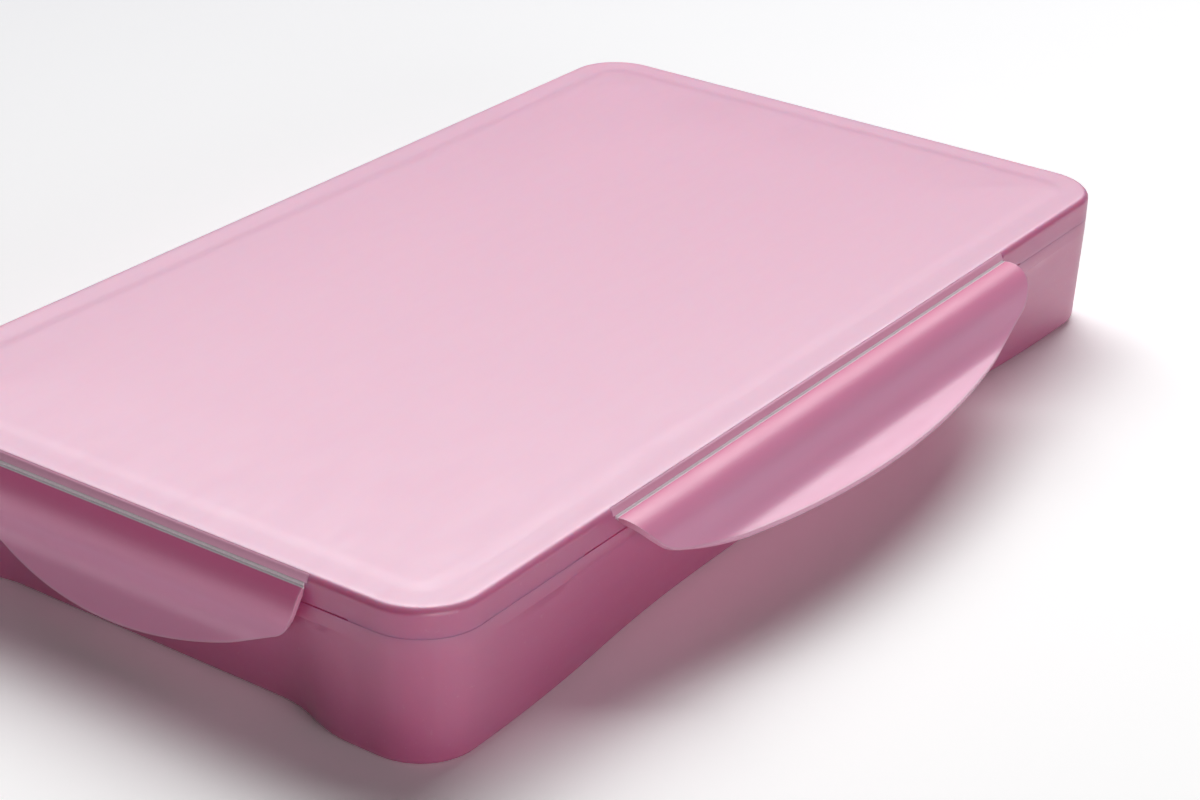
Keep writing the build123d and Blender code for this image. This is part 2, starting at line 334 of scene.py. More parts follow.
# other moulded parts: slightly uneven colour, patchy gloss and a fine skin
def plainPlastic(name, skin=plasticSkin):
    look = plasticLooks[name]
    material, tree, shader, place = nodeMaterial(name)
    cloud = noise(tree, place, skin["cloudScale"], 3.0, stretch=look.get("creases"))
    colour = linear(*look["colour"])
    shade = tuple(c * skin["cloudShade"] for c in colour)
    clouded = blendColours(tree, spread(tree, cloud, 0.0, 1.0), colour, shade)
    tree.links.new(clouded, shader.inputs["Base Color"])
    patchy = noise(tree, place, skin["patchScale"], 4.0)
    gloss = spread(tree, patchy, *(look["roughness"] * share for share in skin["patchRange"]))
    tree.links.new(gloss, shader.inputs["Roughness"])
    radius = tuple(r * mm for r in skin["scatterRadius"])
    setInputs(shader, {"Subsurface Weight": look.get("scatter", 0.0), "Subsurface Radius": radius})
    bump(tree, shader, (noise(tree, place, skin["grainScale"], 2.0), 0.4, skin["grainDepth"]))
    return material


filmLook = {
    "colour": (240, 243, 246),
    "cover": 0.11,  # how much of what lies beneath the film hides
    "hazeScale": 120.0,
    "hazeRange": (0.7, 1.4),  # shares of the cover
    "roughness": 0.12,
    "wrinkleScale": 90.0,
    "wrinkleDepth": 0.15,
}


# thin clear film: see-through, glossy and a little wrinkled
def clearFilm(name, look=filmLook):
    material, tree, shader, place = nodeMaterial(name)
    haze = noise(tree, place, look["hazeScale"], 4.0)
    cover = spread(tree, haze, *(look["cover"] * share for share in look["hazeRange"]))
    tree.links.new(cover, shader.inputs["Alpha"])
    setInputs(shader, {"Base Color": (*linear(*look["colour"]), 1), "Roughness": look["roughness"]})
    wrinkles = noise(tree, place, look["wrinkleScale"], 5.0, stretch=(1.0, 0.3, 1.0))
    bump(tree, shader, (wrinkles, 0.5, look["wrinkleDepth"]))
    return material


paintColours = {
    "titaniumWhite": (246, 245, 241),
    "lemonYellow": (248, 237, 92),
    "midYellow": (248, 216, 62),
    "orange": (243, 148, 54),
    "vermilion": (221, 82, 58),
    "carmine": (186, 45, 76),
    "rose": (230, 118, 152),
    "peach": (244, 206, 178),
    "violet": (120, 76, 150),
    "ultramarine": (54, 66, 156),
    "skyBlue": (112, 180, 220),
    "turquoise": (52, 168, 172),
    "viridian": (38, 122, 98),
    "grassGreen": (112, 172, 70),
    "yellowOchre": (202, 154, 84),
    "burntSienna": (142, 84, 56),
    "midGrey": (138, 140, 142),
    "ivoryBlack": (44, 44, 47),
}
paintLook = {
    "swirlScale": 45.0,
    "swirlDepth": 0.25,
    "shade": 0.9,
    "roughness": 0.34,
    "dullScale": 130.0,
    "dullRange": (0.8, 1.3),  # shares of the roughness
    "wetness": 0.35,
    "wetRoughness": 0.15,
    "grainScale": 700.0,
    "grainDepth": 0.03,
}


# wet gouache: one strong colour, softly streaked where it was poured, under a wet skin
def gouachePaint(name, rgb, look=paintLook):
    material, tree, shader, place = nodeMaterial(name)
    streak = noise(tree, place, look["swirlScale"], 4.0, 0.55, stretch=(1.0, 2.6, 1.0))
    colour = linear(*rgb)
    shade = tuple(c * look["shade"] for c in colour)
    swirled = blendColours(tree, spread(tree, streak, 0.0, 1.0), colour, shade)
    tree.links.new(swirled, shader.inputs["Base Color"])
    dull = noise(tree, place, look["dullScale"], 3.0)
    gloss = spread(tree, dull, *(look["roughness"] * share for share in look["dullRange"]))
    tree.links.new(gloss, shader.inputs["Roughness"])
    setInputs(shader, {"Coat Weight": look["wetness"], "Coat Roughness": look["wetRoughness"]})
    grain = noise(tree, place, look["grainScale"], 3.0)
    bump(tree, shader, (streak, 0.5, look["swirlDepth"]), (grain, 0.3, look["grainDepth"]))
    return material


shellPink = pinkPlastic("shellPink", pinkLook)
lidPink = pinkPlastic("lidPink", lidPinkLook)
stripPink = pinkPlastic("stripPink", stripPinkLook)
flapPink = pinkPlastic("flapPink", flapPinkLook)
print("shell materials made")


def nodeGroup(name, **inputs):  # a Geometry Nodes tree with a mesh input and named sizes
    tree = bpy.data.node_groups.new(name, "GeometryNodeTree")
    tree.interface.new_socket("Geometry", in_out="INPUT", socket_type="NodeSocketGeometry")
    for label, kind in inputs.items():
        tree.interface.new_socket(label, in_out="INPUT", socket_type=f"NodeSocket{kind}")
    tree.interface.new_socket("Geometry", in_out="OUTPUT", socket_type="NodeSocketGeometry")
    return tree, tree.nodes.new("NodeGroupInput").outputs, tree.nodes.new("NodeGroupOutput").inputs


def addNode(tree, kind, links=(), **settings):  # links are (input name or number, socket or plain value)
    node = tree.nodes.new(kind)
    for key, value in settings.items():
        setattr(node, key, value)
    for key, value in links:
        if isinstance(value, bpy.types.NodeSocket):
            tree.links.new(value, node.inputs[key])
        else:
            node.inputs[key].default_value = value
    return node.outputs


def compute(tree, operation, first, second=0.0):
    return addNode(tree, "ShaderNodeMath", ((0, first), (1, second)), operation=operation)[0]


def finishTree(tree, geometry, finish, result):  # copies become a mesh of their own and take the finish
    real = addNode(tree, "GeometryNodeRealizeInstances", (("Geometry", geometry),))[0]
    done = addNode(tree, "GeometryNodeSetMaterial", (("Geometry", real), ("Material", finish)))[0]
    tree.links.new(done, result["Geometry"])
    return tree


# the part that comes in is repeated on a centred grid at a height, and takes its finish
def makeGridTree():
    inputs = {"columns": "Int", "rows": "Int", "pitchX": "Float", "pitchY": "Float", "height": "Float"}
    tree, given, result = nodeGroup("partsOnGrid", **inputs, finish="Material")
    spanX = compute(tree, "MULTIPLY", given["pitchX"], compute(tree, "SUBTRACT", given["columns"], 1.0))
    spanY = compute(tree, "MULTIPLY", given["pitchY"], compute(tree, "SUBTRACT", given["rows"], 1.0))
    counts = (("Vertices X", given["columns"]), ("Vertices Y", given["rows"]))
    grid = addNode(tree, "GeometryNodeMeshGrid", (("Size X", spanX), ("Size Y", spanY), *counts))[0]
    up = addNode(tree, "ShaderNodeCombineXYZ", (("Z", given["height"]),))[0]
    raised = addNode(tree, "GeometryNodeSetPosition", (("Geometry", grid), ("Offset", up)))[0]
    placed = (("Points", raised), ("Instance", given["Geometry"]))
    copies = addNode(tree, "GeometryNodeInstanceOnPoints", placed)[0]
    return finishTree(tree, copies, given["finish"], result)


# whatever lies above a level is stirred up and down by a seeded noise
def makeStirTree():
    inputs = {key: "Float" for key in ("level", "depth", "scale", "seed")}
    tree, given, result = nodeGroup("stirredTop", **inputs, finish="Material")
    place = addNode(tree, "GeometryNodeInputPosition")[0]
    height = addNode(tree, "ShaderNodeSeparateXYZ", (("Vector", place),))["Z"]
    above = compute(tree, "GREATER_THAN", height, given["level"])
    waves = addNode(
        tree,
        "ShaderNodeTexNoise",
        (("Vector", place), ("W", given["seed"]), ("Scale", given["scale"]), ("Detail", 2.0)),
        noise_dimensions="4D",
    )[0]
    centred = compute(tree, "SUBTRACT", waves, 0.5)
    moved = compute(tree, "MULTIPLY", centred, given["depth"])
    shift = addNode(tree, "ShaderNodeCombineXYZ", (("Z", compute(tree, "MULTIPLY", moved, above)),))[0]
    moves = (("Geometry", given["Geometry"]), ("Offset", shift))
    stirred = addNode(tree, "GeometryNodeSetPosition", moves)[0]
    return finishTree(tree, stirred, given["finish"], result)


def applyTree(thing, tree, **values):
    modifier = thing.modifiers.new(tree.name, "NODES")
    modifier.node_group = tree
    for item in tree.interface.items_tree:
        if item.in_out == "INPUT" and item.name in values:
            modifier[item.identifier] = values[item.name]
    return thing


gridTree = makeGridTree()
stirTree = makeStirTree()

scoops = {
    "longBend": (18.0, 108.0),  # from the corner, where each long side starts and ends its bend
    "shortBend": (23.0, 46.0),
    "long": 4.7,
    "short": 5.2,
    "atRidge": 1.0,
    "footInset": 0.9,
    "ridgeBottom": 27.15,
}
planSteps = {
    "corner": 14,
    "bend": 14,
    "middle": 8,
    "pastNotch": (0.0, 5.0, 10.3, 10.7, 14.0),  # millimetres past a notch's end
    "least": 0.3,
    "leastRadius": 0.4,
}
flapSizes = {
    "long": {"length": 176.2, "depth": 27.0, "bow": 268.0},
    "short": {"length": 101.7, "depth": 26.6, "bow": 91.0},
}
notchEnds = {key: size["length"] / 2 + caseSizes["flapEndGap"] for key, size in flapSizes.items()}


def turned(x, y, turn):  # by quarter turns
    for _ in range(turn % 4):
        x, y = -y, x
    return x, y


def bendShare(distance, start, end):  # 0 before the bend and 1 after it, as two equal arcs
    t = min(max((distance - start) / (end - start), 0.0), 1.0)
    return 2 * t * t if t < 0.5 else 1 - 2 * (1 - t) ** 2


def sideStations(half, bendRange, notchEnd):  # places along one side, finer in bends and by the notch
    start, end = bendRange
    run = half - caseSizes["cornerRadius"]
    marks = [run]
    marks += [half - start - (end - start) * i / planSteps["bend"] for i in range(planSteps["bend"] + 1)]
    marks += [(half - end) * i / planSteps["middle"] for i in range(1, planSteps["middle"])]
    marks += [notchEnd + step for step in planSteps["pastNotch"]]
    marks = sorted(m for m in set(round(m, 4) for m in marks) if 0 < m <= run)
    apart = [True] + [b - a > planSteps["least"] for a, b in zip(marks, marks[1:])]
    kept = [m for m, clear in zip(marks, apart) if clear or m == run]
    return [-m for m in reversed(kept)] + [0.0] + kept


planSides = (
    (sideStations(halfLength, scoops["longBend"], notchEnds["long"]), halfLength, "long"),
    (sideStations(halfWidth, scoops["shortBend"], notchEnds["short"]), halfWidth, "short"),
)


# the case's plan, counter-clockwise from above: inset all round, and drawn in by a dip on each pair of sides
def planRing(inset, longDip=0.0, shortDip=0.0, lift=None):
    radius = max(caseSizes["cornerRadius"] - inset, planSteps["leastRadius"])
    ring = []
    for turn in range(4):
        stations, half, key = planSides[turn % 2]
        edge = (halfWidth, halfLength)[turn % 2] - inset
        dip = (longDip, shortDip)[turn % 2]
        for place in stations:
            depth = dip * bendShare(half - abs(place), *scoops[key + "Bend"])
            rise = lift(abs(place) - notchEnds[key]) if lift else 0.0
            kept = (half - inset - radius) / (half - caseSizes["cornerRadius"])
            ring.append((*turned(place * min(kept, 1.0), depth - edge, turn), rise))
        for i in range(1, planSteps["corner"]):
            angle = math.radians(90) * (i / planSteps["corner"] - 1)
            x = half - inset - radius + radius * math.cos(angle)
            y = radius - edge + radius * math.sin(angle)
            ring.append((*turned(x, y, turn), 0.0))
    return ring


def ringAt(z, inset, longDip=0.0, shortDip=0.0, lift=None):
    return [(x, y, z + rise) for x, y, rise in planRing(inset, longDip, shortDip, lift)]


def baseDips(z):  # how far the base's outside stands in at height z
    share = z / scoops["ridgeBottom"]
    edge = scoops["footInset"] * (1 - share)
    return [edge] + [scoops[k] + (scoops["atRidge"] - scoops[k]) * share for k in ("long", "short")]


def baseRing(z, inset=0.0, kept=1.0):  # kept is the share of the scoops' depth
    edge, longDip, shortDip = baseDips(min(z, scoops["ridgeBottom"]))
    return ringAt(z, edge + inset, longDip * kept, shortDip * kept)


# a closed skin through rings of equal count, from underneath, out, up and in
def shellFromRings(name, rings):
    count = len(rings[0])
    faces = [tuple(reversed(range(count)))]
    for k in range(len(rings) - 1):
        low, high = k * count, (k + 1) * count
        for i in range(count):
            j = (i + 1) % count
            faces.append((low + i, low + j, high + j, high + i))
    last = (len(rings) - 1) * count
    faces.append(tuple(range(last, last + count)))
    return newObject(name, meshFromFaces(name, [p for ring in rings for p in ring], faces))


def roundSteps(radius, count=3):  # how far in and how far up a quarter round has come, from foot to side
    return [
        (radius * (1 - math.sin(a)), radius * (1 - math.cos(a)))
        for a in (math.radians(90) * i / count for i in range(count + 1))
    ]


baseLook = {
    "wall": 1.8,
    "floor": 1.8,
    "edgeRound": 2.0,
    "insideRound": 2.5,
    "undersideInset": 8.0,
    "wallHeights": (8.0, 14.0, 20.0, 25.0, 27.03),
    "innerWallShares": (0.25, 0.5, 0.75),
    "innerFloorInset": 7.5,
    "shoulder": 30.78,
    "ridgeEdge": ((0.0, 0.3), (0.08, 0.1), (0.2, 0.0)),  # up from the ridge's foot, and the scoop left there
    "shoulderRound": 0.08,
    "rimTop": 35.0,
    "rimOutside": 1.9,
    "rimInside": 3.3,
    "rimRound": 0.35,
}


def makeBase(look=baseLook):
    ridge, small, rimRound = scoops["ridgeBottom"], look["shoulderRound"], look["rimRound"]
    shoulder, rimTop = look["shoulder"], look["rimTop"]
    outside, inside = look["rimOutside"], look["rimInside"]
    rings = [baseRing(0, look["undersideInset"])]
    rings += [baseRing(up, inward) for inward, up in roundSteps(look["edgeRound"], count=6)]
    rings += [baseRing(z) for z in look["wallHeights"]]
    rings += [baseRing(ridge + up, kept=kept) for up, kept in look["ridgeEdge"]]
    rings += [ringAt(shoulder - up, inward) for inward, up in reversed(roundSteps(small))]
    rings += [ringAt(shoulder, outside)]
    rings += [ringAt(rimTop - up, outside + inward) for inward, up in reversed(roundSteps(rimRound))]
    rings += [ringAt(rimTop - up, inside - inward) for inward, up in roundSteps(rimRound)]
    rings += [ringAt(ridge, inside)]
    low, wall = look["floor"], look["wall"]
    edge, longDip, shortDip = baseDips(low)
    top = [Vector((x, y, ridge)) for x, y, _ in planRing(inside)]
    foot = [Vector((x, y, low)) for x, y, _ in planRing(edge + wall, longDip, shortDip)]
    for share in look["innerWallShares"]:  # from the rim's foot down to the floor
        rings.append([tuple(a.lerp(b, share)) for a, b in zip(top, foot)])
    inner = reversed(roundSteps(look["insideRound"], count=5))
    rings += [baseRing(low + up, wall + inward) for inward, up in inner]
    rings += [baseRing(low, wall + look["innerFloorInset"])]
    return smoothShade(shellFromRings("baseTub", rings), angle=38)


baseTub = makeBase()
dress(baseTub, shellPink, "base", ["base_case"])
print("base made")

cupField = {"columns": 6, "rows": 3, "pitchX": 46.6, "pitchY": 49.0, "gap": 0.6}
gridSizes = {
    "columns": cupField["columns"],
    "rows": cupField["rows"],
    "pitchX": cupField["pitchX"] * mm,
    "pitchY": cupField["pitchY"] * mm,
    "height": baseLook["floor"] * mm,
}
ribLook = {"height": 2.0, "wall": 1.4, "round": 0.3, "sunk": 0.2}


def ribBar(name, length, width, look=ribLook):
    low, high = -look["sunk"], look["height"]
    x, y = length / 2, width / 2
    points = [(a, b, z) for z in (low, high) for a, b in ((-x, -y), (x, -y), (x, y), (-x, y))]
    return bakeModifiers(softEdges(newObject(name, meshFromFaces(name, points, blockFaces)), look["round"]))


# the low ribs between the rows of cups, moulded in one with the floor
def makeFloorRibs(field=cupField, look=ribLook):
    runX = field["columns"] * field["pitchX"] - field["gap"]
    runY = field["rows"] * field["pitchY"] - field["gap"]
    bars = (
        ("floorRibsAcross", look["wall"], runY, field["columns"] - 1, 1),
        ("floorRibsAlong", runX, look["wall"], 1, field["rows"] - 1),
    )
    for name, length, width, columns, rows in bars:
        sizes = {**gridSizes, "columns": columns, "rows": rows}
        ribs = applyTree(ribBar(name, length, width), gridTree, finish=shellPink, **sizes)
        dress(smoothShade(bakeModifiers(ribs), angle=38), shellPink, "base", ["base_case"])


makeFloorRibs()
print("floor ribs made")

lidLook = {
    "wall": 1.6,
    "topEdgeRound": 1.8,
    "skirtEdgeRound": 0.08,
    "skirtHeights": (32.3, 34.3, 35.4),
    "borderInsets": (3.0, 5.5),
    "panelMargin": 7.0,
    "panelRamp": 5.0,
    "panelRise": 0.18,
    "rampSteps": 8,
    "panelCrown": 0.28,  # the panel goes on rising gently towards its middle
    "crownReach": 36.0,
    "crownSteps": 6,
    "ribInset": 4.0,
    "ribWall": 1.0,
    "ribDrop": 1.5,
    "underInset": 13.0,
    "notchFoot": 29.8,
    "notchTop": 34.7,
    "notchHold": 8.0,  # the skirt runs on behind each end of a flap
    "notchSpare": 0.05,  # the notches' blocks pass the walls that they cut, and reach out past them
    "notchOut": 2.0,
    "stripLow": (0.05, 35.72),  # the strip over each hinge, painted paler as painted light, slants: how far out and high at its foot
    "stripHigh": (-0.62, 37.16),  # and at its top
    "stripDepth": 0.4,
    "stripCrest": 0.24,  # its top follows the lid's rounded edge inwards and up
    "stripEnds": 0.15,
    "stripRound": 0.08,
    "stripCut": 1.6,  # the slant is cut on past the strip's top, as a share of its height
    "skirtLift": 0.3,  # the skirt's lower edge stands higher beside each notch
    "skirtLiftReach": 10.5,
}


def skirtLift(distance, look=lidLook):
    return look["skirtLift"] if distance < look["skirtLiftReach"] else 0.0


def makeLid(look=lidLook):
    top, low = caseSizes["borderTop"], caseSizes["partingLine"]
    small, edge = look["skirtEdgeRound"], look["topEdgeRound"]
    under, ribOut = top - look["wall"], look["ribInset"]
    ribIn, ribLow = ribOut + look["ribWall"], under - look["ribDrop"]
    rings = [ringAt(under, look["underInset"]), ringAt(under, ribIn), ringAt(ribLow, ribIn)]
    rings += [ringAt(ribLow, ribOut), ringAt(under, ribOut), ringAt(under, look["wall"])]
    rings += [ringAt(low, look["wall"], lift=skirtLift)]
    rings += [ringAt(low + up, inward, lift=skirtLift) for inward, up in roundSteps(small)]
    rings += [ringAt(z, 0) for z in look["skirtHeights"]]
    rings += [ringAt(top - up, inward) for inward, up in reversed(roundSteps(edge, count=7))]
    rings += [ringAt(top, inset) for inset in look["borderInsets"]]
    start, wide, rise = look["panelMargin"], look["panelRamp"], look["panelRise"]
    for t in (i / look["rampSteps"] for i in range(look["rampSteps"] + 1)):  # a soft ramp up to the panel
        rings.append(ringAt(top + rise * t * t * (3 - 2 * t), start + wide * t))
    for t in (i / look["crownSteps"] for i in range(1, look["crownSteps"] + 1)):
        crown = look["panelCrown"] * t * (2 - t)
        rings.append(ringAt(top + rise + crown, start + wide + look["crownReach"] * t))
    lid = shellFromRings("lidShell", rings)
    cutters = notchCutters(look)
    for cutter in cutters:
        addBoolean(lid, cutter, "DIFFERENCE")
    bakeModifiers(lid)
    removeAll(cutters)
    return smoothShade(lid, angle=32)


# blocks that open the skirt behind each flap and slant the strip above its hinge
def notchCutters(look=lidLook):
    cutters = []
    for turn in range(4):
        half = notchEnds[("long", "short")[turn % 2]]
        wall = -look["wall"] - look["notchSpare"]
        skirt = (half - look["notchHold"], (wall, look["notchFoot"]), (wall, look["notchTop"]))
        back = look["stripDepth"] - look["notchSpare"]
        low, high = ((out - back, z) for out, z in (look["stripLow"], look["stripHigh"]))
        above = tuple(a + (b - a) * look["stripCut"] for a, b in zip(low, high))
        for end, foot, head in (skirt, (half, low, above)):
            lower, upper = (((look["notchOut"], place[1]), place) for place in (foot, head))
            cutters.append(sideBlock("notchBlock", turn, end, lower, upper))
    return cutters


# a block along one side between two lines, each from its outer to its inner place, out and up
def sideBlock(name, turn, end, low, high):
    reach = (halfWidth, halfLength)[turn % 2]
    points = []
    for far, near in (low, high):
        for x, (out, up) in ((-end, far), (end, far), (end, near), (-end, near)):
            points.append((*turned(x, -out - reach, turn), up))
    return newObject(name, meshFromFaces(name, points, blockFaces))


def makeStrips(look=lidLook):
    depth, low, high = look["stripDepth"], look["stripLow"], look["stripHigh"]
    foot = (low, (low[0] - depth, low[1]))
    head = (high, (high[0] - depth, high[1] + look["stripCrest"]))
    strips = []
    for turn in range(4):
        end = notchEnds[("long", "short")[turn % 2]] - look["stripEnds"]
        strip = sideBlock("hingeStrip", turn, end, foot, head)
        strips.append(bakeModifiers(softEdges(strip, look["stripRound"], angle=30, segments=2)))
    return smoothShade(joinParts("hingeStrips", strips), angle=32)


lidShell = makeLid()
dress(lidShell, lidPink, "lid", ["lid_shell"])
dress(makeStrips(), stripPink, "lid", ["lid_shell"])
print("lid made")

flapLook = {
    "wall": 1.4,
    "startAngle": 33.5,  # degrees below the horizontal
    "shoulderRadius": 8.1,
    "shoulderTurn": 77.0,
    "flank": 4.2,
    "lipRadius": 6.0,
    "lipTurn": 52.0,
    "corner": 13.6,
    "grooveRadius": 0.45,
    "grooveTurn": 30.0,
    "rootWall": 0.3,  # share of the wall where it meets the hinge web
    "rootRun": 1.3,  # and over how many walls it grows to the full one
    "edgeRound": 0.3,
    "frontOpen": 47.5,
    "rows": 44,
    "columnStep": 2.0,
    "cornerColumns": 18,
    "halvings": 30,
    "hookMargin": 26.0,
    "hookTop": -8.4,  # below the hinge line
    "hookHeight": 3.2,
    "hookNose": 0.15,
    "hookSlope": 0.4,
    "hookCatch": 0.8,
    "hookRound": 0.15,
    "endSpread": 1.5,  # the painted edge highlight is narrower along the flap's ends than along its free edge
}


# outward and upward place of the flap's wall, run along it from the hinge and depth behind its face
def wallPoint(run, depth=0.0, look=flapLook):
    groove = look["grooveRadius"]
    first = math.radians(look["startAngle"] + look["grooveTurn"])
    out, up = groove * math.sin(first), -groove * math.cos(first)
    angle = math.radians(look["startAngle"])
    shoulderRadius, lipRadius = look["shoulderRadius"], look["lipRadius"]
    shoulder = shoulderRadius * math.radians(look["shoulderTurn"])
    lip = lipRadius * math.radians(look["lipTurn"])
    if run > 0:
        swung = angle + min(run, shoulder) / shoulderRadius
        out += shoulderRadius * (math.sin(swung) - math.sin(angle))
        up -= shoulderRadius * (math.cos(angle) - math.cos(swung))
        angle, run = swung, max(run - shoulder, 0)
        flank = min(run, look["flank"])
        out, up, run = out + flank * math.cos(angle), up - flank * math.sin(angle), run - flank
        swung = angle - min(run, lip) / lipRadius
        out += lipRadius * (math.sin(angle) - math.sin(swung))
        up -= lipRadius * (math.cos(swung) - math.cos(angle))
        angle, run = swung, max(run - lip, 0)
    out, up = out + run * math.cos(angle), up - run * math.sin(angle)
    return out - depth * math.sin(angle), up - depth * math.cos(angle)


def freeEdge(x, size, look=flapLook):  # how far the flap's wall runs at x
    x = abs(x)
    bow, depth, corner = size["bow"], size["depth"], look["corner"]
    cornerX = size["length"] / 2 - corner
    cornerRun = depth - bow + math.sqrt((bow - corner) ** 2 - cornerX**2)
    swing = math.asin(cornerX / (bow - corner))
    if x <= bow * math.sin(swing):
        return depth - bow + math.sqrt(bow**2 - x**2)
    return cornerRun + math.sqrt(max(corner**2 - (x - cornerX) ** 2, 0.0))


def flapColumns(size, look=flapLook):
    middle, bends = size["length"] / 2 - look["corner"], look["cornerColumns"]
    count = int(middle / look["columnStep"])
    places = [middle * i / count for i in range(1, count + 1)]
    places += [middle + look["corner"] * math.sin(math.radians(90 * i / bends)) for i in range(1, bends + 1)]
    return [-p for p in reversed(places)] + [0.0] + places


def placeOnSide(x, out, up, turn, opened):  # from the flap's own section to its place on the case
    swing = math.radians(opened)
    out, up = out * math.cos(swing) - up * math.sin(swing), out * math.sin(swing) + up * math.cos(swing)
    reach = (halfWidth, halfLength)[turn % 2]
    return (*turned(x, -(reach + out), turn), caseSizes["hingeLine"] + up)


def makeFlap(name, turn, size, opened, look=flapLook):
    columns, rows = flapColumns(size), look["rows"]
    points, faces, fromHinge, toEdge = [], [], [], []
    half = size["length"] / 2
    for layer in range(2):  # the outer face, then the inner one
        for x in columns:
            for j in range(rows + 1):
                run = freeEdge(x, size) * (j / rows)
                grown = min(run / (look["wall"] * look["rootRun"]), 1.0)
                depth = look["wall"] * (look["rootWall"] + (1 - look["rootWall"]) * grown)
                out, up = wallPoint(run, depth if layer else 0.0)
                points.append(placeOnSide(x, out, up, turn, opened))
                fromHinge.append(run)
                toEdge.append(min(freeEdge(x, size) - run, (half - abs(x)) * look["endSpread"]))
    across, down = len(columns), rows + 1

    def at(layer, i, j):
        return layer * across * down + i * down + j

    for i in range(across - 1):
        for j in range(rows):
            faces.append((at(0, i, j), at(0, i, j + 1), at(0, i + 1, j + 1), at(0, i + 1, j)))
            faces.append((at(1, i, j), at(1, i + 1, j), at(1, i + 1, j + 1), at(1, i, j + 1)))
    border = [(i, 0) for i in range(across)] + [(across - 1, j) for j in range(1, down)]
    border += [(i, rows) for i in range(across - 2, -1, -1)] + [(0, j) for j in range(rows - 1, 0, -1)]
    for (i, j), (k, m) in zip(border, border[1:] + border[:1]):
        faces.append((at(0, i, j), at(0, k, m), at(1, k, m), at(1, i, j)))
    flap = newObject(name, meshFromFaces(name, points, faces))
    for key, values in (("fromHinge", fromHinge), ("toEdge", toEdge)):
        flap.data.attributes.new(key, "FLOAT", "POINT").data.foreach_set("value", values)
    bakeModifiers(softEdges(facesOutwards(flap), look["edgeRound"], angle=55))
    return smoothShade(addHook(flap, turn, size, opened), angle=40)


def runAtHeight(up, depth, look=flapLook):  # found by halving the shoulder and flank
    low, high = 0.0, look["shoulderRadius"] * math.radians(look["shoulderTurn"]) + look["flank"]
    for _ in range(look["halvings"]):
        middle = (low + high) / 2
        low, high = (middle, high) if wallPoint(middle, depth)[1] > up else (low, middle)
    return low


# the snap hook, a long low rib on the flap's inner face; its skin has the flap's main colour
def addHook(flap, turn, size, opened, look=flapLook):
    top, height, middle = look["hookTop"], look["hookHeight"], look["wall"] / 2
    section = [
        wallPoint(runAtHeight(top, middle), middle),
        (look["hookNose"] + look["hookSlope"], top),
        (look["hookNose"], top - look["hookCatch"]),
        wallPoint(runAtHeight(top - height, middle), middle),
    ]
    half = size["length"] / 2 - look["hookMargin"]
    points = [placeOnSide(x, out, up, turn, opened) for x in (-half, half) for out, up in section]
    faces = [(0, 1, 2, 3), (7, 6, 5, 4), (0, 4, 5, 1), (1, 5, 6, 2), (2, 6, 7, 3), (3, 7, 4, 0)]
    hook = facesOutwards(newObject("hookPart", meshFromFaces("hookPart", points, faces)))
    bakeModifiers(softEdges(hook, look["hookRound"], angle=30, segments=2))
    for key in ("fromHinge", "toEdge"):
        away = hook.data.attributes.new(key, "FLOAT", "POINT")
        away.data.foreach_set("value", [height] * len(hook.data.vertices))
    return joinParts(flap.name, [flap, hook])


whitenedHinge = plainPlastic("whitenedHinge")
for turn, side in enumerate(sides):
    size = flapSizes[("long", "short")[turn % 2]]
    opened = flapLook["frontOpen"] if side == "front" else 0.0
    flap = makeFlap(f"latchFlap{side.title()}", turn, size, opened)
    dress(flap, flapPink, f"latch_{side}", [f"latch_{side}"])
    coat(f"hinge_web_{side}", whitenedHinge)
print("flaps made")

coat("lid_gasket", plainPlastic("gasketRubber"))


# a rounded block's outline, counter-clockwise
def roundedRing(z, length, width, radius, inset=0.0, steps=8, least=0.3):
    x, y, radius = length / 2 - inset, width / 2 - inset, max(radius - inset, least)
    ring = []
    for turn in range(4):
        reach, side = ((x, y), (y, x))[turn % 2]
        for i in range(steps + 1):
            angle = math.radians(90) * (i / steps - 1)
            a, b = reach - radius + radius * math.cos(angle), radius - side + radius * math.sin(angle)
            ring.append((*turned(a, b, turn), z))
    return ring


cupLook = {
    "length": 46.0,
    "width": 48.4,
    "height": 26.5,
    "flange": 2.0,
    "wall": 1.0,
    "lean": 2.2,
    "corner": 9.0,
    "footRound": 1.5,
    "footRing": ((0.4, 9.0), (0.4, 5.0), (0.0, 4.2)),  # a shallow ring foot: height and inset
    "floorInset": 7.0,
    "lipRound": 0.3,
}


def cupRing(z, inset, look=cupLook):  # inside the cup's outer wall by inset at height z
    lean = look["lean"] * (1 - z / look["height"])
    length, width = look["length"] - 2 * look["flange"], look["width"] - 2 * look["flange"]
    return roundedRing(z, length, width, look["corner"], inset + lean)


def makeCup(look=cupLook):
    top, wall, flange = look["height"], look["wall"], look["flange"]
    lip, foot = look["lipRound"], look["footRound"]
    rings = [cupRing(z, inset) for z, inset in look["footRing"]]
    rings += [cupRing(up, inward) for inward, up in roundSteps(foot, count=4)]
    rings += [cupRing(top - wall, 0), cupRing(top - wall, lip - flange)]
    rings += [cupRing(top - wall + lip, -flange)]
    rings += [cupRing(top - up, inward - flange) for inward, up in reversed(roundSteps(lip))]
    rings += [cupRing(top - up, wall - inward) for inward, up in roundSteps(lip)]
    rings += [cupRing(wall + up, wall + inward) for inward, up in reversed(roundSteps(foot, count=4))]
    rings += [cupRing(wall, look["floorInset"])]
    return smoothShade(shellFromRings("paintCups", rings), angle=38)


cupNodes = [f"paint_cup_{i:02d}" for i in range(1, 19)]
cupMilky = plainPlastic("cupMilky")
paintCups = bakeModifiers(applyTree(makeCup(), gridTree, finish=cupMilky, **gridSizes))
dress(paintCups, cupMilky, "base", cupNodes)
print("cups made")

